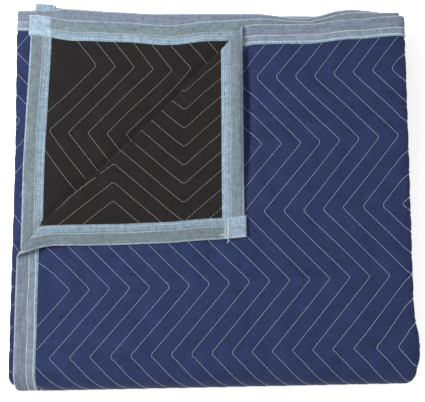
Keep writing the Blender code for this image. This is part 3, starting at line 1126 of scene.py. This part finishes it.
def seam_height(side):
    """The height of the quilting's threads on the blue side, 1, or the black one, -1."""

    def heights(across, down, local):
        quilting = bpy.context.scene.blanket_quilting
        raised = quilting.thread_radius * quilting.thread_raised
        return side * (pad_height(across, down) + raised + local)

    return heights


def lapped_height(strip, side):
    """The height of the sewing on a strip, which rises over the next strip's end."""
    start, end = strip["run"]

    def heights(across, down, local):
        along = down if runs_down(strip) else across
        lift = tape_lift(along, *strip["over"], start, end)
        return side * (TAPE_OUTSIDE - ROWS_SUNK + lift + local)

    return heights


def tape_rows(strip, stretches):
    """The two rows of sewing on a strip, over the given stretches of it."""
    made = []
    for low, high in stretches:
        along = np.linspace(low, high, max(2, int((high - low) / ROW_POINTS)))
        for index, inward in enumerate(ROW_PLACES):
            wander = sum(
                wave["reach"] * np.sin(along * wave["rate"] + index * wave["shift"])
                for wave in ROW_WANDER
            )
            x, y = strip["at"](inward + wander, along)
            made.append(np.stack((x, y), 1))
    return made


LOOSE_THREAD_SHARE = 0.8  # the loose ends' thickness over that of the thread in the rows
THREAD_ENDS = (  # each strand's points: across and down the flat cloth, and over the tape
    (
        (0.0240, 0.0196, 0.0),
        (0.0190, 0.0192, 0.0004),
        (0.0140, 0.0200, 0.0007),
        (0.0080, 0.0194, 0.0004),
        (0.0020, 0.0203, 0.0005),
        (-0.0030, 0.0199, 0.0003),
        (-0.0060, 0.0206, -0.0012),
    ),
    (
        (0.0150, 0.0200, 0.0004),
        (0.0115, 0.0222, 0.0009),
        (0.0075, 0.0238, 0.0006),
        (0.0048, 0.0272, 0.0003),
        (0.0040, 0.0300, 0.0001),
    ),
    (
        (0.0130, 0.0170, 0.0002),
        (0.0100, 0.0192, 0.0007),
        (0.0062, 0.0214, 0.0006),
        (0.0030, 0.0262, 0.0002),
    ),
)


# Sizes and colours


def setting(name, description, default, **more):
    return FloatProperty(name=name, description=description, default=default, **more)


def length(name, description, default, **more):
    return setting(name, description, default, unit="LENGTH", **more)


def colour_of(name, description, default):
    return FloatVectorProperty(
        name=name, description=description, default=default, subtype="COLOR"
    )


class BlanketQuilting(bpy.types.PropertyGroup):
    seam_depth: length("Seam depth", "How far each face is drawn in at a seam", 0.0005, min=0.0)
    seam_width: length(
        "Seam width", "How far from a seam the face is still drawn in", 0.0040, min=0.0005
    )
    puff: length("Puff", "How far each face rises midway between two seams", 0.00025)
    stitch_length: length(
        "Stitch length", "From one quilting stitch to the next", 0.0044, min=0.001
    )
    stitch_share: setting("Stitch share", "Each stitch's length over that distance", 1.3)
    thread_radius: length(
        "Thread radius", "Half the thickness of the quilting thread", 0.00048, min=0.0001
    )
    thread_raised: setting(
        "Thread raised",
        "How much of its radius the thread's middle stands over the cloth",
        0.55,
        subtype="FACTOR",
    )


class BlanketTape(bpy.types.PropertyGroup):
    stitch_length: length(
        "Stitch length", "From one stitch to the next in the rows on the binding", 0.0032, min=0.001
    )
    stitch_share: setting("Stitch share", "Each stitch's length over that distance", 0.95)
    thread_radius: length(
        "Thread radius", "Half the thickness of the binding's thread", 0.00048, min=0.0001
    )


class BlanketColours(bpy.types.PropertyGroup):
    blue: colour_of("Blue cloth", "The outer face", (0.0104, 0.0158, 0.0468))
    black: colour_of("Black cloth", "The reverse face", (0.0073, 0.0065, 0.0064))
    tape_on_blue: colour_of(
        "Tape on the blue side", "The binding on the blue side", (0.084, 0.100, 0.130)
    )
    tape_on_black: colour_of(
        "Tape on the black side", "The binding on the black side", (0.079, 0.101, 0.115)
    )
    # Painted highlight along the binding's folded outer edge, where it catches the light
    tape_edge_highlight: colour_of(
        "Tape edge", "The binding along its folded outer edge", (0.165, 0.19, 0.236)
    )
    tape_hem: colour_of(
        "Tape hem", "The binding where it is doubled along its inner edge", (0.110, 0.150, 0.187)
    )
    thread_on_blue: colour_of(
        "Thread on the blue side", "The quilting thread on the blue side", (0.120, 0.150, 0.230)
    )
    thread_on_black: colour_of(
        "Thread on the black side", "The quilting thread on the black side", (0.102, 0.096, 0.091)
    )
    tape_thread_on_blue: colour_of(
        "Tape thread on the blue side",
        "The thread in the binding's rows on the blue side",
        (0.413, 0.427, 0.427),
    )
    tape_thread_on_black: colour_of(
        "Tape thread on the black side",
        "The thread in the binding's rows on the black side",
        (0.275, 0.315, 0.330),
    )
    floor: colour_of("Floor", "The floor", (0.97, 0.97, 0.97))


class BlanketStage(bpy.types.PropertyGroup):
    lens: setting("Lens", "Focal length", 63.5, min=1.0, unit="CAMERA")
    camera_height: length("Camera height", "Above the floor", 0.9896)
    camera_forward: length(
        "Camera forward", "How far the camera stands in front of the blanket's middle", 0.1264
    )
    camera_tilt: setting(
        "Camera tilt", "How far the view leans back from straight down", 0.1204, subtype="ANGLE"
    )
    camera_roll: setting(
        "Camera roll", "How far the view is turned on itself", -0.001, subtype="ANGLE"
    )
    key_power: setting("Key light", "Power of the large soft light", 51.0, unit="POWER")
    sky_strength: setting("Sky strength", "Brightness of the white light all round", 0.63)
    floor_size: length("Floor size", "Width of the floor", 12.0)
    floor_under: length(
        "Floor under",
        "How far the floor lies under the solids, for the cloth's puffed underside",
        0.0004,
    )


LIGHTS = (
    {"name": "key_light", "place": (-1.05, 0.2, 1.25), "size": 0.7, "share": 1.0},
    {"name": "fill_light", "place": (0.6, -0.5, 1.8), "size": 1.6, "share": 0.45},
)


# Operators


class MakeFaceCloths(bpy.types.Operator):
    """Make the blue and the black face of the quilted pad"""

    bl_idname = "blanket.face_cloths"
    bl_label = "Face cloths"

    def execute(self, context):
        colours = context.scene.blanket_colours
        across, down = coarse_lines()
        top, front = PANEL_ACROSS + RIGHT_TURN, PANEL_DOWN + FRONT_TURN
        low, high = GROOVE["at_x"] - GROOVE_FINE["reach"], GROOVE["at_x"] + GROOVE_FINE["reach"]
        trough = (low, high, GROOVE_FINE["spacing"])
        left = (LEFT_TURN_AT, LEFT_TURN_AT + LEFT_FOLD_FINE["width"], LEFT_FOLD_FINE["spacing"])
        blue_across = finer(across, ((0, low, FINE), trough, (high, top, FINE), left))
        blue_down = finer(down, ((0, front, FINE), (front, UNDERSIDE_END, UNDERSIDE_FINE)))
        reverse = (LENGTH_ACROSS - REVERSE_SHOWN["across"], LENGTH_ACROSS, FINE)
        black_across = finer(across, ((0, FLAP_SHOWN["across"], FINE), reverse))
        black_down = finer(down, ((0, FLAP_SHOWN["down"], FINE),))
        for name, side, lines, colour, slot in (
            ("blue_face", 1, (blue_across, blue_down), colours.blue, "blue_cloth"),
            ("black_face", -1, (black_across, black_down), colours.black, "black_cloth"),
        ):
            cloth = cloth_material(name.replace("_", " "), colour)
            face_cloth(name, side, *lines, across, down, cloth, slot)
        return {"FINISHED"}


class MakeBindings(bpy.types.Operator):
    """Make the four strips of tape that bind the pad's edges"""

    bl_idname = "blanket.bindings"
    bl_label = "Bindings"

    def execute(self, context):
        colours = context.scene.blanket_colours
        tape = tape_material("Binding tape", colours.tape_on_blue, colours.tape_on_black)
        for name, strip in binding_strips().items():
            binding(name, strip, tape)
        return {"FINISHED"}


class SewQuilting(bpy.types.Operator):
    """Sew the zigzag lines wherever the two faces show"""

    bl_idname = "blanket.quilting"
    bl_label = "Quilting"

    def execute(self, context):
        quilting, colours = context.scene.blanket_quilting, context.scene.blanket_colours
        right = PANEL_ACROSS + RIGHT_TURN
        left = LEFT_TURN_AT + LEFT_TURN + LEFT_FOLD_SEWN
        reverse = LENGTH_ACROSS - REVERSE_SHOWN["across"]
        lines = {
            "blue": quilting_lines((0, 0), (right, UNDERSIDE_END), in_field)
            + quilting_lines((LEFT_TURN_AT, 0), (left, LENGTH_DOWN), in_field),
            "black": quilting_lines((0, 0), (FLAP_SHOWN["across"],) * 2, on_flap)
            + quilting_lines((reverse, 0), (LENGTH_ACROSS, REVERSE_SHOWN["down"]), in_field),
        }
        for face, side in (("blue", 1), ("black", -1)):
            thread = thread_material(f"Thread on {face}", getattr(colours, f"thread_on_{face}"))
            stitch = stitch_inputs(quilting, thread)
            heights = seam_height(side)
            sew(f"{face}_quilting", lines[face], heights, stitch, f"{face}_face", f"{face}_cloth")
        return {"FINISHED"}


class SewBindings(bpy.types.Operator):
    """Sew the two rows of stitches along the strips wherever they show"""

    bl_idname = "blanket.binding_rows"
    bl_label = "Binding rows"

    def execute(self, context):
        tape, colours = context.scene.blanket_tape, context.scene.blanket_colours
        across, down = LENGTH_ACROSS, LENGTH_DOWN
        left_turn_end = LEFT_TURN_AT + LEFT_TURN
        from_corner, reverse = TAPE_WIDTH + LAP_PAST_EDGE, across - REVERSE_SHOWN["across"]
        shown = {
            "binding_left": {"blue": ((0.0, UNDERSIDE_END),), "black": ((0.0, 0.32),)},
            "binding_back": {
                "blue": ((0.23, PANEL_ACROSS + RIGHT_TURN), (LEFT_TURN_AT, left_turn_end + 0.06)),
                "black": ((from_corner, 0.32), (reverse, across)),
            },
            "binding_right": {"blue": ((down - 0.03, down),), "black": ((from_corner, 0.33),)},
            "binding_front": {"blue": ((LEFT_TURN_AT - 0.01, left_turn_end + 0.03),)},
        }
        stitches = {}
        for face in ("blue", "black"):
            colour = getattr(colours, f"tape_thread_on_{face}")
            stitches[face] = stitch_inputs(tape, thread_material(f"Tape thread on {face}", colour))
        for name, strip in binding_strips().items():
            for face, stretches in shown[name].items():
                heights = lapped_height(strip, 1 if face == "blue" else -1)
                lines = tape_rows(strip, stretches)
                sew(f"{name}_rows_on_{face}", lines, heights, stitches[face], name, "grey_tape")
        return {"FINISHED"}


class LeaveThreadEnds(bpy.types.Operator):
    """Leave the uncut thread ends at the turned corner"""

    bl_idname = "blanket.thread_ends"
    bl_label = "Thread ends"

    def execute(self, context):
        radius = context.scene.blanket_tape.thread_radius * LOOSE_THREAD_SHARE
        curve = bpy.data.curves.new("thread_ends", "CURVE")
        curve.dimensions = "3D"
        curve.bevel_depth = radius
        curve.bevel_resolution = 1
        curve.use_fill_caps = True
        for strand in THREAD_ENDS:
            spline = curve.splines.new("POLY")
            spline.points.add(len(strand) - 1)
            for point, (across, down, above) in zip(spline.points, strand):
                height = -(TAPE_OUTSIDE + LAP_RISE + radius + above)
                point.co = (across, -down, height, 1)
        mesh = evaluated_mesh(bpy.data.objects.new("thread_guide", curve))
        lay_folded(mesh, points_of(mesh))
        colour = context.scene.blanket_colours.tape_thread_on_blue
        mesh.materials.clear()
        mesh.materials.append(thread_material("Loose thread", colour))
        finish_piece("thread_ends", mesh, "binding_left", "grey_tape")
        return {"FINISHED"}


class SetStage(bpy.types.Operator):
    """Set the floor, the lights and the camera"""

    bl_idname = "blanket.stage"
    bl_label = "Stage"

    def execute(self, context):
        stage, scene = context.scene.blanket_stage, context.scene
        bm = bmesh.new()
        bmesh.ops.create_grid(bm, x_segments=1, y_segments=1, size=stage.floor_size / 2)
        bmesh.ops.translate(bm, verts=bm.verts[:], vec=(0, 0, -stage.floor_under))
        mesh = bpy.data.meshes.new("floor")
        bm.to_mesh(mesh)
        bm.free()
        mesh.materials.append(floor_material(scene.blanket_colours.floor))
        floor = bpy.data.objects.new("floor", mesh)
        scene.collection.objects.link(floor)
        for light in LIGHTS:
            self.add_light(light, stage.key_power * light["share"])
        world = bpy.data.worlds.new("studio")
        world.use_nodes = True
        world.node_tree.nodes["Background"].inputs["Color"].default_value = (1, 1, 1, 1)
        world.node_tree.nodes["Background"].inputs["Strength"].default_value = stage.sky_strength
        scene.world = world
        scene.view_settings.view_transform = "Standard"
        camera = bpy.data.objects.new("camera", bpy.data.cameras.new("camera"))
        camera.data.lens = stage.lens
        camera.location = (0, -stage.camera_forward, stage.camera_height)
        camera.rotation_euler = (stage.camera_tilt, 0, stage.camera_roll)
        scene.collection.objects.link(camera)
        scene.camera = camera
        return {"FINISHED"}

    def add_light(self, wanted, power):
        data = bpy.data.lights.new(wanted["name"], "AREA")
        data.shape = "DISK"
        data.size = wanted["size"]
        data.energy = power
        light = bpy.data.objects.new(wanted["name"], data)
        light.location = wanted["place"]
        light.rotation_euler = light.location.to_track_quat("Z", "Y").to_euler()
        bpy.context.scene.collection.objects.link(light)


class BlanketPanel(bpy.types.Panel):
    """The blanket's sizes, colours and pieces"""

    bl_idname = "VIEW3D_PT_blanket"
    bl_label = "Moving blanket"
    bl_space_type = "VIEW_3D"
    bl_region_type = "UI"
    bl_category = "Blanket"

    def draw(self, context):
        for operator in OPERATORS:
            self.layout.operator(operator.bl_idname)
        for name in SETTINGS:
            settings = getattr(context.scene, name)
            for field in settings.bl_rna.properties.keys():
                if field not in ("rna_type", "name"):
                    self.layout.prop(settings, field)


OPERATORS = (
    MakeFaceCloths,
    MakeBindings,
    SewQuilting,
    SewBindings,
    LeaveThreadEnds,
    SetStage,
)
SETTINGS = {
    "blanket_quilting": BlanketQuilting,
    "blanket_tape": BlanketTape,
    "blanket_colours": BlanketColours,
    "blanket_stage": BlanketStage,
}


def register():
    for group in SETTINGS.values():
        bpy.utils.register_class(group)
    for name, group in SETTINGS.items():
        setattr(bpy.types.Scene, name, PointerProperty(type=group))
    for item in (*OPERATORS, BlanketPanel):
        bpy.utils.register_class(item)


def unregister():
    for item in (*OPERATORS, BlanketPanel):
        bpy.utils.unregister_class(item)
    for name, group in SETTINGS.items():
        delattr(bpy.types.Scene, name)
        bpy.utils.unregister_class(group)


def declare_sheets():
    """Gathers the binding tapes, the rows of sewing and the thread ends, and does nothing more with
    them.
    """
    pieces = bpy.data.objects
    on_it = [pieces[name] for name in pieces.keys() if name.endswith("_tape") or "_rows_" in name]
    on_it.append(pieces["thread_ends"])


def main():
    register()
    for operator in OPERATORS:
        part, step = operator.bl_idname.split(".")
        getattr(getattr(bpy.ops, part), step)()
    declare_sheets()


if __name__ == "__main__":
    main()
